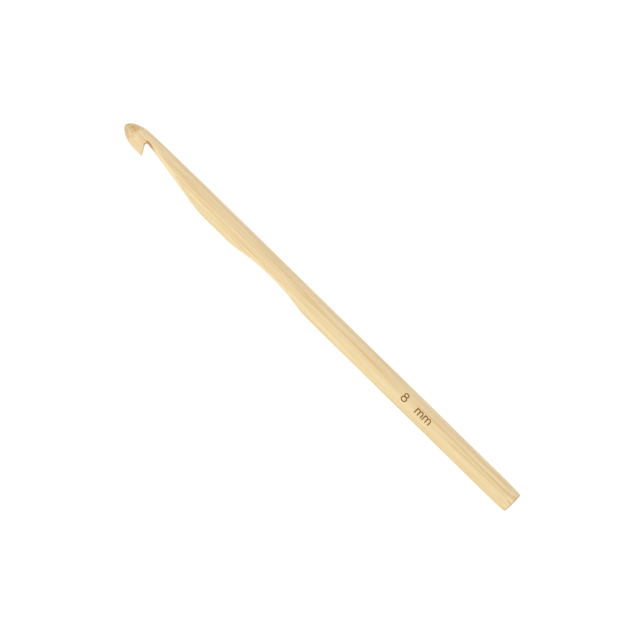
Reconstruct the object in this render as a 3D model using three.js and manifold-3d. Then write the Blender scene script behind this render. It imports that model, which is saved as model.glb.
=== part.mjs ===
// A bamboo crochet hook, 8 mm thick and 177 mm long, lying on its side.
//
// Frame: millimetres, +Z up. The hook lies along X with its nose towards -X and its butt towards +X,
// its mouth and thumb rest face -Y, and its straight spine is at +Y. The origin is under the middle of
// the hook, on the surface that it lies on.
//
// The hook is made the way the real one is: a round blank is turned about its long axis, then the
// mouth with its tapered throat, and the thumb rest, are cut from one side of it. The round section
// is held as flats, wide enough for the hook to lie still on one of them.

import * as THREE from 'three';
import { mergeVertices } from 'three/addons/utils/BufferGeometryUtils.js';
import Module from 'manifold-3d';

// Driving dimensions. Stations along the hook are measured from the tip of its nose.
const LENGTH = 177;
const DIAMETER = 8;
const SIDES = 16;

// Nose: a dome whose half-width follows a superellipse, then a slow swell up to the full diameter.
const NOSE_LENGTH = 8;
const NOSE_RADIUS = 3.86;
const NOSE_WIDTH_POWER = 1.7;
const NOSE_STEPS = 14;
const SWELL_END = 36;
const SWELL_STEPS = 6;

// Butt: the last stretch narrows on a long arc and ends in a rounded edge round a flat face.
const BUTT_TAPER_START = 169.5;
const BUTT_TAPER_RADIUS = 100;
const BUTT_TAPER_STEPS = 4;
const BUTT_EDGE_RADIUS = 0.6;
const BUTT_EDGE_STEPS = 4;

// Mouth: an undercut barb face, a round throat, a straight tapered shank and an arc back to the round shaft.
const BARB_TIP_AT = 11.03;
const BARB_FACE_LEAN = THREE.MathUtils.degToRad(29.3);
const RELIEF_LEAN = THREE.MathUtils.degToRad(41);
const THROAT_RADIUS = 0.75;
const THROAT_TOP = 0.47;
const THROAT_STEPS = 12;
const SHANK_LEAN = THREE.MathUtils.degToRad(9.5);
const SHANK_ARC_END = 40.3;
const SHANK_ARC_STEPS = 8;

// Thumb rest: a shallow hollow, one concave arc between two convex ones.
const REST_CENTRE = 68.5;
const REST_HALF_LENGTH = 19.8;
const REST_DEPTH = 1.55;
const REST_HOLLOW_SHARE = 0.63;
const REST_HOLLOW_STEPS = 10;
const REST_SHOULDER_STEPS = 4;

// Crown: the throat's relief, the shank and the thumb rest are cut deeper towards the two sides of the
// hook, on a quarter ellipse that starts at its middle plane.
const CROWN_DEPTH = 1.7;
const CROWN_HALF_WIDTH = 4.2;
const CROWN_STEPS = 5;
const CROWN_LAND = 0.2;

// How far a cutter reaches past the wood, so that it leaves no skin behind.
const CUTTER_REACH = 3;

// Corners nearer to each other than this are one corner of a solid.
const MERGE_DISTANCE = 1e-5;

const RADIUS = DIAMETER / 2;

const wasm = await Module();
wasm.setup();

/** Half-width of the nose at a distance from its tip. */
function noseRadius(distance) {
  const fromShoulder = 1 - distance / NOSE_LENGTH;
  return NOSE_RADIUS * (1 - fromShoulder ** 2) ** (1 / NOSE_WIDTH_POWER);
}

/** Half-profile of the turned blank: x is the radius and y the station, from the nose to the butt. */
function blankProfile() {
  const profile = [new THREE.Vector2(0, 0)];
  for (let i = 1; i <= NOSE_STEPS; i++) {
    const station = NOSE_LENGTH * (i / NOSE_STEPS) ** 2;
    profile.push(new THREE.Vector2(noseRadius(station), station));
  }
  for (let i = 1; i <= SWELL_STEPS; i++) {
    const station = THREE.MathUtils.lerp(NOSE_LENGTH, SWELL_END, i / SWELL_STEPS);
    const swell = THREE.MathUtils.smoothstep(station, NOSE_LENGTH, SWELL_END);
    profile.push(new THREE.Vector2(THREE.MathUtils.lerp(NOSE_RADIUS, RADIUS, swell), station));
  }
  const edgeStart = LENGTH - BUTT_EDGE_RADIUS;
  let edgeTop = RADIUS;
  for (let i = 0; i <= BUTT_TAPER_STEPS; i++) {
    const station = THREE.MathUtils.lerp(BUTT_TAPER_START, edgeStart, i / BUTT_TAPER_STEPS);
    edgeTop = RADIUS - (station - BUTT_TAPER_START) ** 2 / (2 * BUTT_TAPER_RADIUS);
    profile.push(new THREE.Vector2(edgeTop, station));
  }
  for (let i = 1; i <= BUTT_EDGE_STEPS; i++) {
    const turn = (i / BUTT_EDGE_STEPS) * (Math.PI / 2);
    const radius = edgeTop - BUTT_EDGE_RADIUS * (1 - Math.cos(turn));
    profile.push(new THREE.Vector2(radius, edgeStart + BUTT_EDGE_RADIUS * Math.sin(turn)));
  }
  profile.push(new THREE.Vector2(0, LENGTH));
  return profile;
}

/** The turned blank along +X, its section a polygon with one flat underneath and one at each side. */
function blankGeometry() {
  const flatToCorner = 1 / Math.cos(Math.PI / SIDES);
  const profile = blankProfile().map((p) => new THREE.Vector2(p.x * flatToCorner, p.y));
  const geometry = new THREE.LatheGeometry(profile, SIDES, Math.PI / SIDES);
  return geometry.rotateZ(-Math.PI / 2);
}

/** Unit vector up a face that leans back from upright towards the nose. */
function upFace(lean) {
  return new THREE.Vector2(-Math.sin(lean), Math.cos(lean));
}

/** Centre of the round throat: one radius off the barb face, and one radius below the throat's top. */
function throatCentre() {
  const up = upFace(BARB_FACE_LEAN);
  const y = THROAT_TOP - THROAT_RADIUS;
  const climb = (y + RADIUS + up.x * THROAT_RADIUS) / up.y;
  return new THREE.Vector2(BARB_TIP_AT + up.x * climb + up.y * THROAT_RADIUS, y);
}

/** The shank's cut edge: an arc that is tangent to its straight taper and to the underside of the shaft. */
function shankEdge() {
  const centre = throatCentre();
  const lineX = centre.x + THROAT_RADIUS * Math.sin(SHANK_LEAN);
  const lineY = centre.y + THROAT_RADIUS * Math.cos(SHANK_LEAN);
  const corner = lineX + (lineY + RADIUS) / Math.tan(SHANK_LEAN);
  const arcRadius = (SHANK_ARC_END - corner) / Math.tan(SHANK_LEAN / 2);
  const points = [];
  for (let i = 0; i <= SHANK_ARC_STEPS; i++) {
    const turn = SHANK_LEAN * (1 - i / SHANK_ARC_STEPS);
    const x = SHANK_ARC_END - arcRadius * Math.sin(turn);
    points.push(new THREE.Vector2(x, -RADIUS + arcRadius * (1 - Math.cos(turn))));
  }
  return points;
}

/** Outline of the mouth: up the barb face, round the throat, down the shank, out below. */
function mouthShape() {
  const below = -RADIUS - CUTTER_REACH;
  const up = upFace(BARB_FACE_LEAN);
  const centre = throatCentre();
  const faceTop = new THREE.Vector2(centre.x - up.y * THROAT_RADIUS, centre.y + up.x * THROAT_RADIUS);
  const shape = new THREE.Shape();
  shape.moveTo(faceTop.x + (up.x * (below - faceTop.y)) / up.y, below);
  shape.lineTo(faceTop.x, faceTop.y);
  for (let i = 1; i <= THROAT_STEPS; i++) {
    const turn = THREE.MathUtils.lerp(Math.PI + BARB_FACE_LEAN, Math.PI / 2 - SHANK_LEAN, i / THROAT_STEPS);
    shape.lineTo(centre.x + THROAT_RADIUS * Math.cos(turn), centre.y + THROAT_RADIUS * Math.sin(turn));
  }
  for (const point of shankEdge()) {
    shape.lineTo(point.x, point.y);
  }
  shape.lineTo(SHANK_ARC_END, below);
  return shape;
}

/** Outline of the throat's relief: a leaning end that meets the shank's edge at the top of the throat. */
function reliefShape() {
  const below = -RADIUS - CUTTER_REACH;
  const topX = throatCentre().x;
  const shape = new THREE.Shape();
  shape.moveTo(topX + (THROAT_TOP - below) * Math.tan(RELIEF_LEAN), below);
  shape.lineTo(topX, THROAT_TOP);
  for (const point of shankEdge()) {
    shape.lineTo(point.x, point.y);
  }
  shape.lineTo(SHANK_ARC_END, below);
  return shape;
}

/** Depth of the thumb rest at a distance from its centre: concave in the middle, convex shoulders. */
function restDepth(distance) {
  const hollowRadius = (REST_HOLLOW_SHARE * REST_HALF_LENGTH ** 2) / (2 * REST_DEPTH);
  const shoulderRadius = ((1 - REST_HOLLOW_SHARE) * REST_HALF_LENGTH ** 2) / (2 * REST_DEPTH);
  if (distance <= REST_HOLLOW_SHARE * REST_HALF_LENGTH) {
    return REST_DEPTH - distance ** 2 / (2 * hollowRadius);
  }
  return (REST_HALF_LENGTH - distance) ** 2 / (2 * shoulderRadius);
}

/** Outline of the thumb rest, from its nose end to its butt end and back below the shaft. */
function restShape() {
  const hollowHalf = REST_HOLLOW_SHARE * REST_HALF_LENGTH;
  const stops = [];
  for (let i = 0; i < REST_SHOULDER_STEPS; i++) {
    stops.push(THREE.MathUtils.lerp(-REST_HALF_LENGTH, -hollowHalf, i / REST_SHOULDER_STEPS));
  }
  for (let i = 0; i <= REST_HOLLOW_STEPS; i++) {
    stops.push(THREE.MathUtils.lerp(-hollowHalf, hollowHalf, i / REST_HOLLOW_STEPS));
  }
  for (let i = 1; i <= REST_SHOULDER_STEPS; i++) {
    stops.push(THREE.MathUtils.lerp(hollowHalf, REST_HALF_LENGTH, i / REST_SHOULDER_STEPS));
  }
  const below = -RADIUS - CUTTER_REACH;
  const shape = new THREE.Shape();
  shape.moveTo(REST_CENTRE - REST_HALF_LENGTH, below);
  for (const stop of stops) {
    shape.lineTo(REST_CENTRE + stop, -RADIUS + restDepth(Math.abs(stop)));
  }
  shape.lineTo(REST_CENTRE + REST_HALF_LENGTH, below);
  return shape;
}

/** A straight cutter through the whole thickness of the hook. */
function straightCutter(shape) {
  const depth = DIAMETER + 2 * CUTTER_REACH;
  const geometry = new THREE.ExtrudeGeometry(shape, { depth, bevelEnabled: false });
  return geometry.translate(0, 0, -depth / 2);
}

/** A cutter that has its plain outline in the middle plane and grows towards both sides of the hook. */
function crownedCutter(shape) {
  const geometry = new THREE.ExtrudeGeometry(shape, {
    depth: CROWN_LAND,
    bevelThickness: CROWN_HALF_WIDTH - CROWN_LAND / 2,
    bevelSize: -CROWN_DEPTH,
    bevelOffset: CROWN_DEPTH,
    bevelSegments: CROWN_STEPS,
  });
  return geometry.translate(0, 0, -CROWN_LAND / 2);
}

/** A manifold solid from a closed geometry. */
function toSolid(geometry) {
  const bare = geometry.clone();
  bare.deleteAttribute('normal');
  bare.deleteAttribute('uv');
  const merged = mergeVertices(bare, MERGE_DISTANCE);
  const index = merged.index.array;
  const triangles = [];
  for (let i = 0; i < index.length; i += 3) {
    const [a, b, c] = [index[i], index[i + 1], index[i + 2]];
    if (a !== b && b !== c && c !== a) {
      triangles.push(a, b, c);
    }
  }
  const mesh = new wasm.Mesh({
    numProp: 3,
    vertProperties: new Float32Array(merged.attributes.position.array),
    triVerts: new Uint32Array(triangles),
  });
  return new wasm.Manifold(mesh);
}

/** A three.js geometry from a manifold solid. */
function toGeometry(solid) {
  const mesh = solid.getMesh();
  const geometry = new THREE.BufferGeometry();
  geometry.setAttribute('position', new THREE.BufferAttribute(mesh.vertProperties, 3));
  geometry.setIndex(new THREE.BufferAttribute(mesh.triVerts, 1));
  geometry.computeVertexNormals();
  return geometry;
}

const bamboo = new THREE.MeshStandardMaterial({ color: 0xecd6a5, roughness: 0.55, metalness: 0 });

const blank = toSolid(blankGeometry());
const mouth = toSolid(straightCutter(mouthShape()));
const throatRelief = toSolid(crownedCutter(reliefShape()));
const thumbRest = toSolid(crownedCutter(restShape()));
const carved = blank.subtract(mouth).subtract(throatRelief).subtract(thumbRest);

const hookBody = new THREE.Mesh(toGeometry(carved), bamboo);
hookBody.name = 'hook_body';
hookBody.position.set(-LENGTH / 2, 0, RADIUS);

const crochetHook = new THREE.Group();
crochetHook.add(hookBody);

export default crochetHook;
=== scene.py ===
"""A bamboo crochet hook lying on a pale surface, seen from straight above.

The hook is one carved rod. Its surface is a single loft: each ring lies in a plane through one point
of the cut side and one point of the round side, and is found by casting rays onto the solid that is
left when the mouth and the thumb rest are taken out of a turned blank. Lengths are in millimetres in
the hook's own terms: station x from the tip of the nose, height y from the middle of the shaft
towards the spine, and z from the middle of the shaft upwards.
"""

import math

import bpy
import numpy as np
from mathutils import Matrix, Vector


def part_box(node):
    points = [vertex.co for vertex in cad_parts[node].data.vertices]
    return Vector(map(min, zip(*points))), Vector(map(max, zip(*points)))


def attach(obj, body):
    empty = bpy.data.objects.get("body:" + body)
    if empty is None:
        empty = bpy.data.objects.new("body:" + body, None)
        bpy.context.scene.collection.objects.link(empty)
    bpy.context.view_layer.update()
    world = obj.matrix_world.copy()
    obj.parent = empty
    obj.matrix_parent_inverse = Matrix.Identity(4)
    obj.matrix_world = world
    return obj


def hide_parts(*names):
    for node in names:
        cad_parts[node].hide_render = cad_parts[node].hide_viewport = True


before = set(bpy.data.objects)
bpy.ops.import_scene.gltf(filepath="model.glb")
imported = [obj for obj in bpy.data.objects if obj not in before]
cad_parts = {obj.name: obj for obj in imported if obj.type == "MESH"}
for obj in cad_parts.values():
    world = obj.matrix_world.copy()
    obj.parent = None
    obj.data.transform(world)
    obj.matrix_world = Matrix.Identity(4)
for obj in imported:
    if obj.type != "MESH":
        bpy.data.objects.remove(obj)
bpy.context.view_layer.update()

MM = 0.001
BODY = "root"
NODE = "hook_body"

low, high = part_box(NODE)
LENGTH = (high[0] - low[0]) / MM
RADIUS = (high[2] - low[2]) / MM / 2
NOSE_X = low[0] / MM
MIDDLE_Z = low[2] / MM + RADIUS

# The turned blank.
NOSE_LENGTH = 8.0
NOSE_RADIUS = 3.79
NOSE_WIDTH_POWER = 1.57
NOSE_DROP = 0.12
NOSE_DROP_END = 16.0
SWELL_END = 36.0
BUTT_TAPER_START = 169.5
BUTT_TAPER_RADIUS = 100.0
BUTT_EDGE_RADIUS = 0.6
BUTT_DOME = 0.12

# The mouth, its throat and the tapered shank.
BARB_TIP_AT = 11.2
BARB_FACE_LEAN = math.radians(31.5)
THROAT_RADIUS = 0.75
THROAT_TOP = 0.47
RELIEF_LEAN = math.radians(41.0)
RELIEF_DROOP = 0.18  # how fast the relief's upper edge bends down past the throat, per millimetre
RELIEF_CORNER = 0.4
SHANK_LEAN = math.radians(9.5)
SHANK_ARC_END = 40.3

# The thumb rest: a concave arc between two convex ones.
REST_CENTRE = 68.5
REST_HALF_LENGTH = 19.8
REST_DEPTH = 1.55
REST_HOLLOW_SHARE = 0.63

# Both cuts are crowned: they go deeper towards the two sides of the hook.
CROWN_DEPTH = 1.7
CROWN_HALF_WIDTH = 4.2

# Sanded edges, in millimetres of blend: crisp at the barb, softer along the shank and thumb rest.
BARB_EDGE = 0.14
SHANK_EDGE = 0.75
SHANK_EDGE_FROM = 13.0
SHANK_EDGE_TO = 30.0
SHARPEST_EDGE = 0.001
EDGE_FADE = 0.8  # depth of cut at which an edge has its full blend


def lerp(a, b, t):
    """The value at share t of the way from a to b."""
    return a + (b - a) * t


def smoothstep(a, b, x):
    """A value that eases from 0 at a to 1 at b."""
    t = np.clip((x - a) / (b - a), 0.0, 1.0)
    return t * t * (3.0 - 2.0 * t)


# ---------------------------------------------------------------------------------------------
# The solid, as a function that is negative inside the wood
# ---------------------------------------------------------------------------------------------


def blank_radius(x):
    """Radius of the turned blank at a station."""
    from_shoulder = 1.0 - np.clip(x / NOSE_LENGTH, 0.0, 1.0)
    nose = NOSE_RADIUS * (1.0 - from_shoulder**2) ** (1.0 / NOSE_WIDTH_POWER)
    swell = (RADIUS - NOSE_RADIUS) * smoothstep(NOSE_LENGTH, SWELL_END, x)
    taper = np.maximum(x - BUTT_TAPER_START, 0.0) ** 2 / (2.0 * BUTT_TAPER_RADIUS)
    return nose + swell - taper


def blank_height(x):
    """Height of the blank's centre: the nose droops a little towards the mouth."""
    return -NOSE_DROP * (1.0 - smoothstep(0.0, NOSE_DROP_END, x))


def throat_centre():
    """Centre of the round throat, one radius off the barb face and below the throat's top."""
    side, up = math.sin(BARB_FACE_LEAN), math.cos(BARB_FACE_LEAN)
    y = THROAT_TOP - THROAT_RADIUS
    climb = (y + RADIUS - side * THROAT_RADIUS) / up
    return BARB_TIP_AT - side * climb + up * THROAT_RADIUS, y


THROAT_X, THROAT_Y = throat_centre()
SHANK_X = THROAT_X + THROAT_RADIUS * math.sin(SHANK_LEAN)
SHANK_Y = THROAT_Y + THROAT_RADIUS * math.cos(SHANK_LEAN)
SHANK_CORNER = SHANK_X + (SHANK_Y + RADIUS) / math.tan(SHANK_LEAN)
SHANK_ARC_RADIUS = (SHANK_ARC_END - SHANK_CORNER) / math.tan(SHANK_LEAN / 2)
SHANK_ARC_START = SHANK_ARC_END - SHANK_ARC_RADIUS * math.sin(SHANK_LEAN)


def shank_height(x):
    """Height of the shank's cut side: a straight taper, then an arc down to the round shaft."""
    line = SHANK_Y - (x - SHANK_X) * math.tan(SHANK_LEAN)
    along = np.clip((SHANK_ARC_END - x) / SHANK_ARC_RADIUS, 0.0, math.sin(SHANK_LEAN))
    arc = -RADIUS + SHANK_ARC_RADIUS * (1.0 - np.sqrt(1.0 - along**2))
    return np.where(x < SHANK_ARC_START, line, arc)


def mouth_depth(x, y):
    """How far a point is inside the mouth, which is cut straight through the hook."""
    side, up = math.sin(BARB_FACE_LEAN), math.cos(BARB_FACE_LEAN)
    dx, dy = x - THROAT_X, y - THROAT_Y
    off_face = THROAT_RADIUS + dx * up + dy * side
    off_shank = (shank_height(x) - y) * math.cos(SHANK_LEAN)
    turn = np.arctan2(dy, dx) % (2.0 * math.pi)
    in_throat = (turn > math.pi / 2 - SHANK_LEAN) & (turn < math.pi + BARB_FACE_LEAN)
    return np.where(in_throat, THROAT_RADIUS - np.hypot(dx, dy), np.minimum(off_face, off_shank))


def relief_sides(x, y, z):
    """How far a point is past each side of the throat's crowned relief: its nose side and its top."""
    side, up = math.sin(RELIEF_LEAN), math.cos(RELIEF_LEAN)
    deeper = crown(z)
    off_end = (x - THROAT_X) * up + (y - THROAT_TOP) * side + deeper
    droop = RELIEF_DROOP * np.maximum(THROAT_X - x, 0.0) ** 2
    off_top = (shank_height(x) - droop - y) * math.cos(SHANK_LEAN) + deeper
    return off_end, off_top


def rest_height(x):
    """Height of the thumb rest's floor in the hook's middle plane."""
    off = np.abs(x - REST_CENTRE)
    hollow_half = REST_HOLLOW_SHARE * REST_HALF_LENGTH
    hollow_radius = REST_HOLLOW_SHARE * REST_HALF_LENGTH**2 / (2 * REST_DEPTH)
    shoulder_radius = (1 - REST_HOLLOW_SHARE) * REST_HALF_LENGTH**2 / (2 * REST_DEPTH)
    hollow = REST_DEPTH - off**2 / (2 * hollow_radius)
    shoulder = np.maximum(REST_HALF_LENGTH - off, 0.0) ** 2 / (2 * shoulder_radius)
    return -RADIUS + np.where(off < hollow_half, hollow, shoulder)


def crown(z):
    """How much deeper the crowned cuts go at a distance from the middle plane."""
    share = np.clip(np.abs(z) / CROWN_HALF_WIDTH, 0.0, 1.0)
    return CROWN_DEPTH * (1.0 - np.sqrt(1.0 - share**2))


def soft_max(a, b, blend):
    """The larger of two distances, with a rounded edge where they meet."""
    overlap = np.maximum(blend - np.abs(a - b), 0.0) / blend
    return np.maximum(a, b) + overlap**2 * blend / 4.0


def off_blank(x, y, z):
    """How far a point is outside the turned blank."""
    return np.hypot(y - blank_height(x), z) - blank_radius(x)


def solid(x, y, z):
    """Negative inside the hook, positive outside."""
    blank = off_blank(x, y, z)
    off_end, off_top = relief_sides(x, y, z)
    relief = -soft_max(-off_end, -off_top, RELIEF_CORNER)
    cut = soft_max(mouth_depth(x, y), relief, BARB_EDGE)
    rest = rest_height(x) + crown(z) - y
    edge = lerp(BARB_EDGE, SHANK_EDGE, smoothstep(SHANK_EDGE_FROM, SHANK_EDGE_TO, x))
    cut_away = np.maximum(shank_height(x), rest_height(x)) + blank_radius(x)
    edge = np.maximum(edge * smoothstep(0.0, EDGE_FADE, cut_away), SHARPEST_EDGE)
    return soft_max(blank, np.maximum(cut, rest), edge)


# ---------------------------------------------------------------------------------------------
# The size mark: plain single strokes, in millimetres along the hook and round its upward side
# ---------------------------------------------------------------------------------------------

MARK_FROM = 125.8
MARK_TO = 139.8
MARK_BASE = -1.25  # the foot of the figure and letters, round from the topmost line
STROKE_HALF = 0.175
STROKE_DEPTH = 0.09
# Distances from a stroke's middle line over which its groove and its burn fade.
GROOVE_FADES = (STROKE_HALF * 0.45, STROKE_HALF * 1.35)
BURN_FADES = (STROKE_HALF * 0.8, STROKE_HALF * 1.45)
OVAL_STEPS = 28
ARCH_STEPS = 14
FAR_OFF = 1e9
TINY = 1e-9
FIGURE_AT = 127.6
# The figure's two loops: height of the centre, half-width and half-height.
FIGURE_LOOPS = ((0.78, 0.93, 0.78), (2.21, 0.72, 0.65))
LETTER_HEIGHT = 1.85
LETTER_STEP = 1.3
LETTERS_AT = (133.1, 136.5)


def oval(x, y, half_width, half_height, start=0.0, end=2 * math.pi, steps=OVAL_STEPS):
    """Points along an oval, or along part of one."""
    turn = np.linspace(start, end, steps)
    return np.stack([x + half_width * np.cos(turn), y + half_height * np.sin(turn)], axis=1)


def letter_m(x):
    """Strokes of a plain letter m: a stem and two arches that come down to the line."""
    half = LETTER_STEP / 2
    strokes = [np.array([(x, 0.0), (x, LETTER_HEIGHT)])]
    for arch in range(2):
        centre = x + LETTER_STEP * (arch + 0.5)
        bend = oval(centre, LETTER_HEIGHT - half, half, half, math.pi, 0.0, ARCH_STEPS)
        strokes.append(np.concatenate((bend, [(centre + half, 0.0)])))
    return strokes


def mark_strokes():
    """All strokes of the mark: the figure 8 and the unit mm."""
    strokes = [oval(FIGURE_AT, *loop) for loop in FIGURE_LOOPS]
    for x in LETTERS_AT:
        strokes += letter_m(x)
    return [stroke + (0.0, MARK_BASE) for stroke in strokes]


def distance_to_strokes(spots):
    """Distance of each spot to the nearest stroke of the mark."""
    nearest = np.full(len(spots), FAR_OFF)
    for stroke in mark_strokes():
        for start, end in zip(stroke[:-1], stroke[1:]):
            run = end - start
            share = np.clip((spots - start) @ run / (run @ run), 0.0, 1.0)
            nearest = np.minimum(nearest, np.hypot(*(spots - start - share[:, None] * run).T))
    return nearest


def mark_distance(points):
    """Distance of each point to the mark's strokes, where it is on the marked stretch."""
    distance = np.full(len(points), FAR_OFF)
    x, y, z = points.T
    near = (x > MARK_FROM) & (x < MARK_TO) & (z > RADIUS / 2)
    spots = np.stack([x[near], RADIUS * np.arctan2(y[near], z[near])], axis=1)
    distance[near] = distance_to_strokes(spots)
    return distance


# ---------------------------------------------------------------------------------------------
# The loft
# ---------------------------------------------------------------------------------------------

SIDES = 144
TOP_SPACING = 0.333  # spacing of the ring's points on the upward side, against an even ring's
FAN_RINGS = 118
FAN_END = 13.5
TIP_INSET = 0.12  # how far up the barb face the rings start
TIP_SKIP = 0.2  # rings of the fan that are narrower than this are left out
THROAT_STEPS = 40
OUTLINE_STEPS = 160
# Matching shares of the two outlines: tip, middle of the barb face, its top, round the throat, shank.
CUT_MARKS = (0.0, 0.20, 0.41, 0.47, 0.53, 0.60, 1.0)
ROUND_MARKS = (0.0, 0.12, 0.30, 0.45, 0.60, 0.76, 1.0)
# The shaft's stretches with evenly spaced rings: from, to and number of rings.
SHAFT_SPANS = (
    (FAN_END, 42.0, 46),
    (42.0, 94.0, 74),
    (94.0, MARK_FROM, 16),
    (MARK_FROM, MARK_TO, 190),
    (MARK_TO, BUTT_TAPER_START, 14),
    (BUTT_TAPER_START, LENGTH - BUTT_EDGE_RADIUS, 8),
)
BUTT_EDGE_RINGS = 9
BUTT_FACE_SHARES = (0.92, 0.8, 0.65, 0.5, 0.35, 0.2, 0.08)
RAY_STEP = 0.08
RAY_LENGTH = 11.5
HALVINGS = 22
RIDGE_REACH = 0.6  # the barb's ridge is nearer than this to the middle of the first ring


def ring_angles():
    """Angles round a ring from the spine side, closer together on the side with the size mark."""
    t = np.arange(SIDES) / (SIDES / 2) - 1.0
    return math.pi / 2 + math.pi * (TOP_SPACING * t + (1.0 - TOP_SPACING) * t**3)


def along_polyline(points, shares):
    """Points at shares of the length of a polyline."""
    steps = np.hypot(*np.diff(points, axis=0).T)
    length = np.concatenate(([0.0], np.cumsum(steps)))
    at = shares * length[-1]
    return np.stack([np.interp(at, length, points[:, k]) for k in (0, 1)], axis=1)


def cut_outline():
    """The cut side's outline from the barb tip, up its face, round the throat and down the shank."""
    side, up = math.sin(BARB_FACE_LEAN), math.cos(BARB_FACE_LEAN)
    face_top = (THROAT_X - up * THROAT_RADIUS, THROAT_Y - side * THROAT_RADIUS)
    tip = (BARB_TIP_AT - side * TIP_INSET, -RADIUS + up * TIP_INSET)
    ends = (math.pi + BARB_FACE_LEAN, math.pi / 2 - SHANK_LEAN)
    throat = oval(THROAT_X, THROAT_Y, THROAT_RADIUS, THROAT_RADIUS, *ends, THROAT_STEPS)
    end = (FAN_END, float(shank_height(np.array(FAN_END))))
    return np.concatenate(([tip, face_top], throat, [end]))


def round_outline():
    """The round side's outline from the barb tip, under the nose, over it and along the spine.

    Its points are closest together at the tip of the nose.
    """
    shares = np.linspace(0.0, 1.0, OUTLINE_STEPS)
    under = lerp(BARB_TIP_AT, 0.0, shares**0.5)
    over = lerp(0.0, FAN_END, shares**2)[1:]
    lower = np.stack([under, blank_height(under) - blank_radius(under)], axis=1)
    upper = np.stack([over, blank_height(over) + blank_radius(over)], axis=1)
    return np.concatenate((lower, upper))


def fan_rings():
    """Ends of the rings of the head, which fan round the throat from the barb tip to the shank."""
    shares = np.linspace(0.0, 1.0, FAN_RINGS)
    inner = along_polyline(cut_outline(), np.interp(shares, ROUND_MARKS, CUT_MARKS))
    outer = along_polyline(round_outline(), shares)
    keep = np.hypot(*(inner - outer).T) > TIP_SKIP
    return inner[keep], outer[keep]


def shaft_stations():
    """Stations of the rings along the shaft, without the first, where the fan ends."""
    stations = [np.linspace(*span, endpoint=False) for span in SHAFT_SPANS]
    return np.concatenate(stations)[1:]


def cast_rings(inner, outer):
    """Points of the rings in the planes through pairs of inner and outer points.

    A ray goes out from a ring's middle in steps until it is outside the hook, and halving the last
    step then finds the surface.
    """
    middle = (inner + outer) / 2
    reach = outer - inner
    reach /= np.hypot(*reach.T)[:, None]
    angles = ring_angles()
    origin = np.repeat(middle[:, None, :], SIDES, axis=1)
    ahead = reach[:, None, :] * np.cos(angles)[None, :, None]
    rise = np.broadcast_to(np.sin(angles)[None, :], ahead.shape[:2])

    def outside(distance):
        x = origin[..., 0] + ahead[..., 0] * distance
        y = origin[..., 1] + ahead[..., 1] * distance
        return solid(x, y, rise * distance) > 0.0

    near = np.zeros(rise.shape)
    found = np.zeros(rise.shape, bool)
    for k in range(1, int(RAY_LENGTH / RAY_STEP)):
        found |= outside(np.full(rise.shape, k * RAY_STEP)) & ~found
        near = np.where(found, near, k * RAY_STEP)
    far = near + RAY_STEP
    for _ in range(HALVINGS):
        half = (near + far) / 2
        out = outside(half)
        far = np.where(out, half, far)
        near = np.where(out, near, half)
    distance = (near + far) / 2
    points = np.empty(rise.shape + (3,))
    points[..., :2] = origin + ahead * distance[..., None]
    points[..., 2] = rise * distance
    return points


def butt_rings():
    """Rings of the butt's rounded edge and of its slightly domed end."""
    edge_start = LENGTH - BUTT_EDGE_RADIUS
    edge_top = float(blank_radius(np.array(edge_start)))
    stations_and_radii = []
    for turn in np.linspace(0.0, math.pi / 2, BUTT_EDGE_RINGS):
        station = edge_start - BUTT_DOME + BUTT_EDGE_RADIUS * math.sin(turn)
        radius = edge_top - BUTT_EDGE_RADIUS * (1.0 - math.cos(turn))
        stations_and_radii.append((station, radius))
    face_radius = radius
    for share in BUTT_FACE_SHARES:
        stations_and_radii.append((LENGTH - BUTT_DOME * share**2, face_radius * share))
    angles = ring_angles()
    across = np.stack([np.zeros(SIDES), np.cos(angles), np.sin(angles)], axis=1)
    return np.array([across * radius + (station, 0.0, 0.0) for station, radius in stations_and_radii])


def ridge_points(ring, tip_way):
    """The barb's ridge: rays from the middles of the first ring's facing pairs towards the tip."""
    upper = np.arange(SIDES // 2 + 1)
    pair = (SIDES - upper) % SIDES
    middle = (ring[upper] + ring[pair]) / 2
    near = np.zeros(len(middle))
    far = np.full(len(middle), RIDGE_REACH)
    for _ in range(HALVINGS):
        half = (near + far) / 2
        spot = middle[:, :2] + tip_way[None, :] * half[:, None]
        out = solid(spot[:, 0], spot[:, 1], middle[:, 2]) > 0.0
        far = np.where(out, half, far)
        near = np.where(out, near, half)
    points = middle.copy()
    points[:, :2] += tip_way[None, :] * ((near + far) / 2)[:, None]
    return points


def loft_points():
    """Rings of the whole hook and the points that close its two ends."""
    inner, outer = fan_rings()
    stations = shaft_stations()
    cut_side = np.maximum(shank_height(stations), rest_height(stations))
    shaft_inner = np.stack([stations, cut_side], axis=1)
    shaft_outer = np.stack([stations, blank_radius(stations)], axis=1)
    cast = cast_rings(np.concatenate((inner, shaft_inner)), np.concatenate((outer, shaft_outer)))
    tip_way = np.array([BARB_TIP_AT, -RADIUS]) - (inner[0] + outer[0]) / 2
    ridge = ridge_points(cast[0], tip_way / np.hypot(*tip_way))
    return np.concatenate((cast, butt_rings())), ridge


# ---------------------------------------------------------------------------------------------
# The shades: how much of a treatment, painted highlight or painted shade each point has, from 0 to 1
# ---------------------------------------------------------------------------------------------

SKIN = 0.14  # how near a point is to a cut surface when it counts as on it
RUN_IN = 0.3  # how far inside a surface's edge its shade is full
# The throat's browning: the cutter's burn together with painted shade.
SCORCH_AND_SHADE_STARTS = (THROAT_X - 1.6, THROAT_X - 0.7)
SCORCH_AND_SHADE_ENDS = (10.6, 13.6)
SCORCH_AND_SHADE_DEPTHS = (0.5, 1.2)  # below the throat's top
# The relief's nose side: a golden across-grain face, brightened with painted light.
RELIEF_END_RUN_IN = 0.25
RELIEF_END_DEPTHS = (0.5, 1.4)  # below the blank's surface
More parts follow.
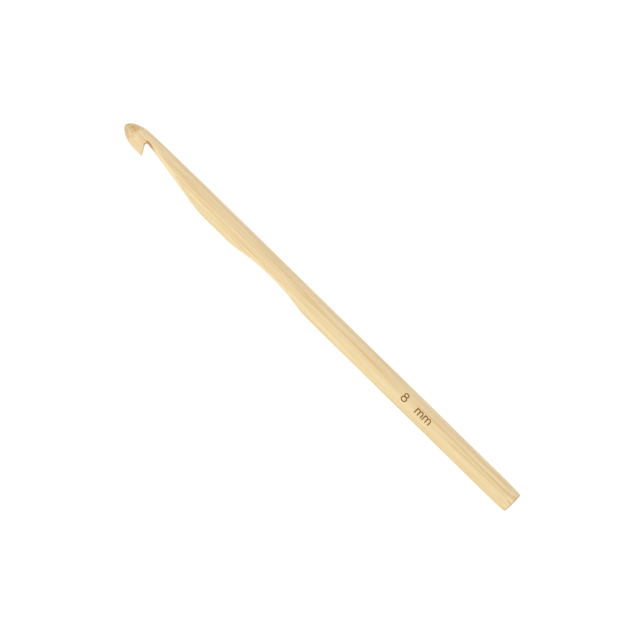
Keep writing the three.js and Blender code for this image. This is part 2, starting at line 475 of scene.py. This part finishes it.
# The lip: a painted highlight along the edge above the throat.
LIP_WIDTHS = (0.06, 0.42)
LIP_STARTS = (THROAT_X - 1.6, THROAT_X - 0.9)
LIP_ENDS = (14.0, 30.0)


def on_surface(distance):
    """1 on a surface, and 0 further from it than the skin."""
    return 1.0 - smoothstep(0.0, SKIN, np.abs(distance))


def sink_mark(points):
    """Press the strokes of the size mark into the surface, and say how burnt each point is."""
    distance = mark_distance(points)
    groove = 1.0 - smoothstep(*GROOVE_FADES, distance)
    outward = points * (0.0, 1.0, 1.0)
    outward /= np.maximum(np.linalg.norm(outward, axis=1), TINY)[:, None]
    sunk = points - outward * (groove * STROKE_DEPTH)[:, None]
    return sunk, 1.0 - smoothstep(*BURN_FADES, distance)


def throat_scorch_and_shade(points):
    """How browned each point is, on the relief's top and inside the throat: partly the cutter's burn,
    partly painted shade of the throat.
    """
    x, y, z = points.T
    off_end, off_top = relief_sides(x, y, z)
    on_top = on_surface(off_top) * smoothstep(0.0, RUN_IN, off_end)
    in_throat = on_surface(mouth_depth(x, y)) * (1.0 - smoothstep(*SCORCH_AND_SHADE_DEPTHS, THROAT_TOP - y))
    along = smoothstep(*SCORCH_AND_SHADE_STARTS, x) * (1.0 - smoothstep(*SCORCH_AND_SHADE_ENDS, x))
    return np.maximum(on_top, in_throat) * along


def lit_relief_end(points):
    """Which points are on the outer part of the relief's nose side, a small face across the grain whose
    golden tone is brightened with painted light.
    """
    x, y, z = points.T
    off_end, off_top = relief_sides(x, y, z)
    on_end = on_surface(off_end) * smoothstep(0.0, RELIEF_END_RUN_IN, off_top)
    return on_end * (1.0 - smoothstep(*RELIEF_END_DEPTHS, -off_blank(x, y, z)))


def fresh_cut(points):
    """Which points are on the floors of the crowned cuts, where the wood is a little paler."""
    x, y, z = points.T
    on_relief = on_surface(relief_sides(x, y, z)[1])
    on_rest = on_surface(rest_height(x) + crown(z) - y)
    return np.maximum(on_relief, on_rest) * smoothstep(0.0, RUN_IN, -off_blank(x, y, z))


def lip_highlight(points):
    """How near each point is to the edge where the relief's top meets the blank: a painted highlight
    along that edge.
    """
    x, y, z = points.T
    off_top = relief_sides(x, y, z)[1]
    near = 1.0 - smoothstep(*LIP_WIDTHS, np.hypot(off_top, off_blank(x, y, z)))
    along = smoothstep(*LIP_STARTS, x) * (1.0 - smoothstep(*LIP_ENDS, x))
    return near * along


# ---------------------------------------------------------------------------------------------
# The mesh
# ---------------------------------------------------------------------------------------------


def ring_faces(count):
    """Quads between neighbouring rings."""
    faces = []
    for ring in range(count - 1):
        here = ring * SIDES
        ahead = here + SIDES
        for j in range(SIDES):
            k = (j + 1) % SIDES
            faces.append((here + j, here + k, ahead + k, ahead + j))
    return faces


def butt_faces(last_ring, centre):
    """Triangles from the last ring to the middle of the butt."""
    return [(last_ring + j, last_ring + (j + 1) % SIDES, centre) for j in range(SIDES)]


def ridge_faces(ridge):
    """Quads that close the barb: half the first ring lies on each side of the ridge."""
    faces = []
    for j in range(SIDES // 2):
        pair = (SIDES - j) % SIDES
        next_pair = SIDES - j - 1
        faces.append((ridge + j, ridge + j + 1, j + 1, j))
        faces.append((ridge + j + 1, ridge + j, pair, next_pair))
    return faces


def hook_mesh():
    """The hook's mesh in metres, with the shades that its material reads as attributes."""
    rings, ridge = loft_points()
    ring_corners = rings.reshape(-1, 3)
    points = np.concatenate((ring_corners, ridge, [[LENGTH, 0.0, 0.0]]))
    faces = ring_faces(len(rings))
    faces += butt_faces(len(ring_corners) - SIDES, len(points) - 1)
    faces += ridge_faces(len(ring_corners))
    points, burn = sink_mark(points)
    shades = {
        "burn": burn,
        "scorch_and_shade": throat_scorch_and_shade(points),
        "lit_relief_end": lit_relief_end(points),
        "fresh_cut": fresh_cut(points),
        "lip_highlight": lip_highlight(points),
    }
    placed = (points + (NOSE_X, 0.0, MIDDLE_Z)) * MM
    mesh = bpy.data.meshes.new("hook")
    mesh.from_pydata(placed.tolist(), [], faces)
    for name, values in shades.items():
        layer = mesh.attributes.new(name, "FLOAT", "POINT")
        layer.data.foreach_set("value", values.astype(np.float32))
    mesh.validate()
    mesh.polygons.foreach_set("use_smooth", [True] * len(mesh.polygons))
    return mesh


# ---------------------------------------------------------------------------------------------
# Materials
# ---------------------------------------------------------------------------------------------


class Nodes:
    """A short way to write a material's node tree."""

    def __init__(self, name):
        self.material = bpy.data.materials.new(name)
        self.material.use_nodes = True
        self.tree = self.material.node_tree
        self.shader = self.tree.nodes["Principled BSDF"]

    def put(self, socket, value):
        """Link an input to an output, or set its value."""
        if isinstance(value, bpy.types.NodeSocket):
            self.tree.links.new(value, socket)
        else:
            socket.default_value = value

    def set(self, name, value):
        """Link or set an input of the shader."""
        self.put(self.shader.inputs[name], value)

    def add(self, kind, inputs=(), **settings):
        """A node with its settings made and its inputs set or linked, by name or number."""
        node = self.tree.nodes.new(kind)
        for key, value in settings.items():
            setattr(node, key, value)
        for key, value in dict(inputs).items():
            self.put(node.inputs[key], value)
        return node

    def math(self, operation, a, b=0.0, c=0.0):
        return self.add("ShaderNodeMath", {0: a, 1: b, 2: c}, operation=operation).outputs[0]

    def times(self, a, b):
        return self.math("MULTIPLY", a, b)

    def vector(self, x, y, z):
        return self.add("ShaderNodeCombineXYZ", {0: x, 1: y, 2: z}).outputs[0]

    def noise(self, vector, scale=1.0, detail=2.0, roughness=0.5):
        inputs = {"Vector": vector, "Scale": scale, "Detail": detail, "Roughness": roughness}
        return self.add("ShaderNodeTexNoise", inputs).outputs["Fac"]

    def fade(self, value, start, end, low=0.0, high=1.0):
        """A value that eases from low at start to high at end."""
        inputs = {"Value": value, 1: start, 2: end, 3: low, 4: high}
        node = self.add("ShaderNodeMapRange", inputs, interpolation_type="SMOOTHSTEP")
        return node.outputs["Result"]

    def mix(self, factor, a, b):
        return self.add("ShaderNodeMix", {0: factor, 6: a, 7: b}, data_type="RGBA").outputs[2]

    def attribute(self, name):
        return self.add("ShaderNodeAttribute", attribute_name=name).outputs["Fac"]


def rgb(red, green, blue):
    """A linear colour from 0 to 255 display values."""

    def linear(value):
        value /= 255.0
        return value / 12.92 if value <= 0.04045 else ((value + 0.055) / 1.055) ** 2.4

    return (linear(red), linear(green), linear(blue), 1.0)


CUT_SIDE_TONE = rgb(239, 218, 172)
SPINE_TONE = rgb(237, 212, 175)
NOSE_TONE = rgb(242, 216, 182)
BROAD_TONE = rgb(226, 194, 136)
BAND_TONE = rgb(218, 182, 120)
FINE_TONE = rgb(246, 230, 188)
HAIR_TONE = rgb(202, 158, 96)
SEAM_TONE = rgb(216, 172, 98)
BUNDLE_DOT_TONE = rgb(150, 98, 48)
BUNDLE_LINE_TONE = rgb(188, 140, 76)
END_GRAIN_TONE = rgb(206, 170, 122)
STAIN_TONE = rgb(212, 158, 84)
SPLIT_TONE = rgb(160, 108, 56)
FRESH_CUT_TONE = rgb(250, 229, 194)
# Painted highlight on the edge above the throat.
LIP_HIGHLIGHT_TONE = rgb(255, 240, 192)
# The cutter's burn together with painted shade in the throat.
SCORCH_AND_SHADE_TONE = rgb(194, 142, 88)
# Golden across-grain tone, brightened with painted light.
LIT_RELIEF_END_TONE = rgb(255, 229, 170)
BURN_TONE = rgb(130, 80, 0)

BUNDLE_SPACING = 0.75
BUNDLE_SHIFT = 1.6
STAIN_PLACE = (3.0, 1.4, 3.0)  # station, height and distance upwards
STAIN_EDGE = 1.9
STAIN_MIDDLE = 0.3
SPLITS_FROM = LENGTH - 3.4
SPLITS_FULL = LENGTH - 0.3
SEAM_HALF_WIDTH = 0.55
# The seam drifts from the first height to the second between the two stations.
SEAM_HEIGHTS = (0.55, 1.25)
SEAM_DRIFT = (30.0, 175.0)
WOOD_SPECULAR = 0.15
BUMP_STRENGTH = 0.5
BUMP_HEIGHT = 0.00004


class Wood:
    """Where a point is in the hook, and the fibre patterns that run through it there."""

    def __init__(self, n):
        self.n = n
        place = n.add("ShaderNodeTexCoord").outputs["Object"]
        split = n.add("ShaderNodeSeparateXYZ", {0: place})
        self.x, self.y, z = (n.times(split.outputs[k], 1.0 / MM) for k in range(3))
        self.station = n.math("SUBTRACT", self.x, NOSE_X)
        self.up = n.math("SUBTRACT", z, MIDDLE_Z)

        # Fibres wander a little, so every pattern that runs along them reads these two places.
        self.wander = n.noise(n.vector(n.times(self.x, 0.02), 0.0, 0.0), detail=1.0)
        self.across = n.math("MULTIPLY_ADD", self.wander, 0.7, self.y)
        self.upward = n.math("MULTIPLY_ADD", self.wander, -0.5, self.up)

        self.broad = self.streaks(along=0.006, across=0.55, detail=1.0, shift=3.0)
        self.bands = self.streaks(along=0.012, across=1.5, detail=2.0, shift=11.0)
        self.fine = self.streaks(along=0.05, across=4.2, detail=3.0, shift=23.0)
        self.hair = self.streaks(along=0.022, across=6.5, detail=1.0, shift=41.0)
        self.bundles = self.bundle_distance()
        self.end_grain = self.across_the_grain()

    def streaks(self, along, across, detail, shift):
        """Noise drawn out along the fibres; along and across are its changes per millimetre."""
        n = self.n
        stretched = n.vector(
            n.math("MULTIPLY_ADD", self.x, along, shift),
            n.times(self.across, across),
            n.times(self.upward, across),
        )
        return n.noise(stretched, detail=detail, roughness=0.55)

    def bundle_distance(self):
        """Distance to the nearest of a staggered set of long cores, the vascular bundles."""
        n = self.n
        bundle_across = n.math("DIVIDE", self.across, BUNDLE_SPACING)
        bundle_up = n.math("SUBTRACT", self.upward, BUNDLE_SHIFT)
        cells = n.add(
            "ShaderNodeTexVoronoi",
            {"Vector": n.vector(bundle_across, bundle_up, 0.0), "Scale": 1.0, "Randomness": 0.5},
            voronoi_dimensions="2D",
            feature="F1",
        )
        return cells.outputs["Distance"]

    def across_the_grain(self):
        """How much the surface cuts across the fibres."""
        n = self.n
        normal = n.add("ShaderNodeTexCoord").outputs["Normal"]
        facing = n.math("ABSOLUTE", n.add("ShaderNodeSeparateXYZ", {0: normal}).outputs[0])
        return n.fade(facing, 0.12, 0.50)


def fibre_colour(n, wood):
    """Fibres on a ground that is warmer and a little darker towards the spine, and rosier at the nose."""
    ground = n.mix(n.fade(wood.y, -3.2, 3.4), CUT_SIDE_TONE, SPINE_TONE)
    ground = n.mix(n.fade(wood.station, 15.0, 5.0, high=0.4), ground, NOSE_TONE)
    ground = n.mix(n.fade(wood.broad, 0.35, 0.68, high=0.40), ground, BROAD_TONE)
    ground = n.mix(n.fade(wood.bands, 0.40, 0.66, high=0.50), ground, BAND_TONE)
    ground = n.mix(n.fade(wood.fine, 0.34, 0.64, high=0.60), ground, FINE_TONE)
    return n.mix(n.fade(wood.hair, 0.54, 0.70, high=0.55), ground, HAIR_TONE)


def add_seam(n, wood, ground):
    """One golden seam of denser fibre runs the length of the shaft, drifting towards the spine."""
    middle = n.fade(wood.station, *SEAM_DRIFT, *SEAM_HEIGHTS)
    wave = n.math("MULTIPLY_ADD", wood.wander, 0.8, -0.4)
    off_seam = n.math("ABSOLUTE", n.math("SUBTRACT", n.math("ADD", wood.y, wave), middle))
    seam = n.times(n.fade(off_seam, SEAM_HALF_WIDTH, 0.05), n.fade(wood.up, 0.3, 1.2))
    patches = n.noise(n.vector(n.times(wood.x, 0.045), 0.0, 7.0), detail=1.0)
    seam = n.times(seam, n.fade(patches, 0.3, 0.62, low=0.05, high=0.5))
    return n.mix(seam, ground, SEAM_TONE)


def bundle_dots(n, wood):
    """The bundles' cores where the surface cuts across them."""
    return n.times(n.fade(wood.bundles, 0.32, 0.14), wood.end_grain)


def add_bundles(n, wood, ground):
    """The bundles show as dark dots on end grain, and as faint short lines elsewhere."""
    ground = n.mix(n.times(bundle_dots(n, wood), 0.6), ground, BUNDLE_DOT_TONE)
    lines = n.times(n.fade(wood.bundles, 0.22, 0.06), n.fade(wood.fine, 0.4, 0.65))
    ground = n.mix(n.times(lines, 0.22), ground, BUNDLE_LINE_TONE)
    return n.mix(n.times(wood.end_grain, 0.35), ground, END_GRAIN_TONE)


def add_stain(n, wood, ground):
    """A resin-coloured stain on the nose."""
    place = (wood.station, wood.y, wood.up)
    off = n.vector(*(n.math("SUBTRACT", value, at) for value, at in zip(place, STAIN_PLACE)))
    distance = n.add("ShaderNodeVectorMath", {0: off}, operation="LENGTH").outputs["Value"]
    return n.mix(n.fade(distance, STAIN_EDGE, STAIN_MIDDLE, high=0.55), ground, STAIN_TONE)


def add_splits(n, wood, ground):
    """Short dark splits run back from the sawn butt."""
    near_butt = n.fade(wood.station, SPLITS_FROM, SPLITS_FULL)
    torn = wood.streaks(along=0.10, across=2.6, detail=1.0, shift=57.0)
    splits = n.times(near_butt, n.fade(torn, 0.56, 0.68))
    return n.mix(n.times(splits, 0.7), ground, SPLIT_TONE)


def add_cut_surfaces(n, wood, ground):
    """The cuts' floors are pale, the edge above the throat gets a painted highlight, the throat is
    browned by the cutter's burn and painted shade, and the relief's nose side is golden with painted
    light.
    """
    ground = n.mix(n.times(n.attribute("fresh_cut"), 0.45), ground, FRESH_CUT_TONE)
    # Painted highlight along the edge above the throat.
    ground = n.mix(n.times(n.attribute("lip_highlight"), 0.7), ground, LIP_HIGHLIGHT_TONE)
    # The cutter's burn together with painted shade in the throat.
    scorch_and_shade = n.times(n.attribute("scorch_and_shade"), n.fade(wood.hair, 0.2, 0.7, low=0.55, high=0.95))
    ground = n.mix(scorch_and_shade, ground, SCORCH_AND_SHADE_TONE)
    # Golden across-grain face, brightened with painted light.
    return n.mix(n.times(n.attribute("lit_relief_end"), 0.8), ground, LIT_RELIEF_END_TONE)


def add_mark(n, wood, burn, ground):
    """The size mark is burnt in, a little unevenly."""
    speckle = n.noise(n.vector(wood.x, wood.y, wood.up), scale=2.2, detail=3.0)
    patchy = n.fade(speckle, 0.25, 0.6, low=0.82, high=1.0)
    return n.mix(n.times(burn, patchy), ground, BURN_TONE)


def satin_roughness(n, wood, burn):
    """Satin, rougher where the wood is cut across the grain or burnt."""
    roughness = n.fade(wood.fine, 0.25, 0.75, low=0.62, high=0.52)
    roughness = n.math("MULTIPLY_ADD", wood.end_grain, 0.14, roughness)
    return n.math("MULTIPLY_ADD", burn, 0.2, roughness)


def grain_bump(n, wood):
    """Raised fibres, and pits where the bundles' cores come to the surface."""
    relief = n.math("ADD", n.times(wood.fine, 0.6), n.times(wood.hair, 0.4))
    relief = n.math("MULTIPLY_ADD", bundle_dots(n, wood), -0.5, relief)
    inputs = {"Strength": BUMP_STRENGTH, "Distance": BUMP_HEIGHT, "Height": relief}
    return n.add("ShaderNodeBump", inputs).outputs["Normal"]


def bamboo_material():
    """Bare sanded bamboo: long fibres, bundles that show as dots on end grain, and burnt marks."""
    n = Nodes("bamboo")
    wood = Wood(n)
    burn = n.attribute("burn")
    ground = fibre_colour(n, wood)
    ground = add_seam(n, wood, ground)
    ground = add_bundles(n, wood, ground)
    ground = add_stain(n, wood, ground)
    ground = add_splits(n, wood, ground)
    ground = add_cut_surfaces(n, wood, ground)
    ground = add_mark(n, wood, burn, ground)
    n.set("Base Color", ground)
    n.set("Roughness", satin_roughness(n, wood, burn))
    n.set("Specular IOR Level", WOOD_SPECULAR)
    n.set("Normal", grain_bump(n, wood))
    return n.material


WHITE = (1.0, 1.0, 1.0, 1.0)
FLOOR_TONES = (rgb(136, 136, 136), rgb(140, 140, 140))
FLOOR_MOTTLE = 30.0
FLOOR_ROUGHNESS = 0.9
FLOOR_GLOW = 0.84  # the floor is a light table, so the hook throws almost no shadow


def floor_material():
    """Softly glowing, faintly mottled paper."""
    n = Nodes("paper")
    place = n.add("ShaderNodeTexCoord").outputs["Object"]
    mottle = n.noise(place, scale=FLOOR_MOTTLE, detail=3.0)
    n.set("Base Color", n.mix(mottle, *FLOOR_TONES))
    n.set("Roughness", FLOOR_ROUGHNESS)
    n.set("Emission Color", WHITE)
    n.set("Emission Strength", FLOOR_GLOW)
    return n.material


# ---------------------------------------------------------------------------------------------
# The scene
# ---------------------------------------------------------------------------------------------

FLOOR_HALF = 3.0
HORIZON_LIGHT = 0.5
ZENITH_LIGHT = 1.06
KEY_PLACE = (-0.15, -0.55, 0.85)
KEY_SIZE = 0.7
KEY_POWER = 2.2
CAMERA_ROLL = math.radians(44.42)
FRAME_WIDTH = 0.2096  # width of the view at the height of the hook's middle
LENS = 400.0
SENSOR = 36.0
CAMERA_OFF_X = 0.00204
CAMERA_OFF_Y = -0.00125


def add_object(name, mesh, material):
    """An object of a mesh with one material, in the scene."""
    mesh.materials.append(material)
    made = bpy.data.objects.new(name, mesh)
    bpy.context.scene.collection.objects.link(made)
    return made


def make_hook():
    """The hook, which stands for the CAD's."""
    hook = add_object("hook", hook_mesh(), bamboo_material())
    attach(hook, BODY)
    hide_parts(NODE)


def make_floor():
    """A plain square floor at the height of the hook's underside."""
    half = FLOOR_HALF
    mesh = bpy.data.meshes.new("floor")
    corners = [(-half, -half, 0), (half, -half, 0), (half, half, 0), (-half, half, 0)]
    mesh.from_pydata(corners, [], [(0, 1, 2, 3)])
    add_object("floor", mesh, floor_material())


def make_sky():
    """White light from all round, brighter from above than from the horizon."""
    world = bpy.data.worlds.new("studio")
    world.use_nodes = True
    tree = world.node_tree
    background = tree.nodes["Background"]
    background.inputs["Color"].default_value = WHITE
    place = tree.nodes.new("ShaderNodeTexCoord")
    split = tree.nodes.new("ShaderNodeSeparateXYZ")
    brighten = tree.nodes.new("ShaderNodeMapRange")
    brighten.inputs["To Min"].default_value = HORIZON_LIGHT
    brighten.inputs["To Max"].default_value = ZENITH_LIGHT
    tree.links.new(place.outputs["Generated"], split.inputs[0])
    tree.links.new(split.outputs["Z"], brighten.inputs["Value"])
    tree.links.new(brighten.outputs["Result"], background.inputs["Strength"])
    bpy.context.scene.world = world


def make_key_light():
    """A soft square light from above and the cut side, aimed at the hook."""
    data = bpy.data.lights.new("key", "AREA")
    data.size = KEY_SIZE
    data.energy = KEY_POWER
    light = bpy.data.objects.new("key", data)
    light.location = KEY_PLACE
    aim = -light.location
    light.rotation_euler = aim.to_track_quat("-Z", "Y").to_euler()
    bpy.context.scene.collection.objects.link(light)


def make_camera():
    """A long lens straight above the hook, turned so that the hook lies across the view."""
    data = bpy.data.cameras.new("camera")
    data.lens = LENS
    data.sensor_width = SENSOR
    camera = bpy.data.objects.new("camera", data)
    distance = FRAME_WIDTH * LENS / SENSOR
    camera.location = (CAMERA_OFF_X, CAMERA_OFF_Y, distance + MIDDLE_Z * MM)
    camera.rotation_euler = (0.0, 0.0, CAMERA_ROLL)
    bpy.context.scene.collection.objects.link(camera)
    bpy.context.scene.camera = camera


make_hook()
make_floor()
make_sky()
make_key_light()
make_camera()
bpy.context.scene.view_settings.view_transform = "Standard"
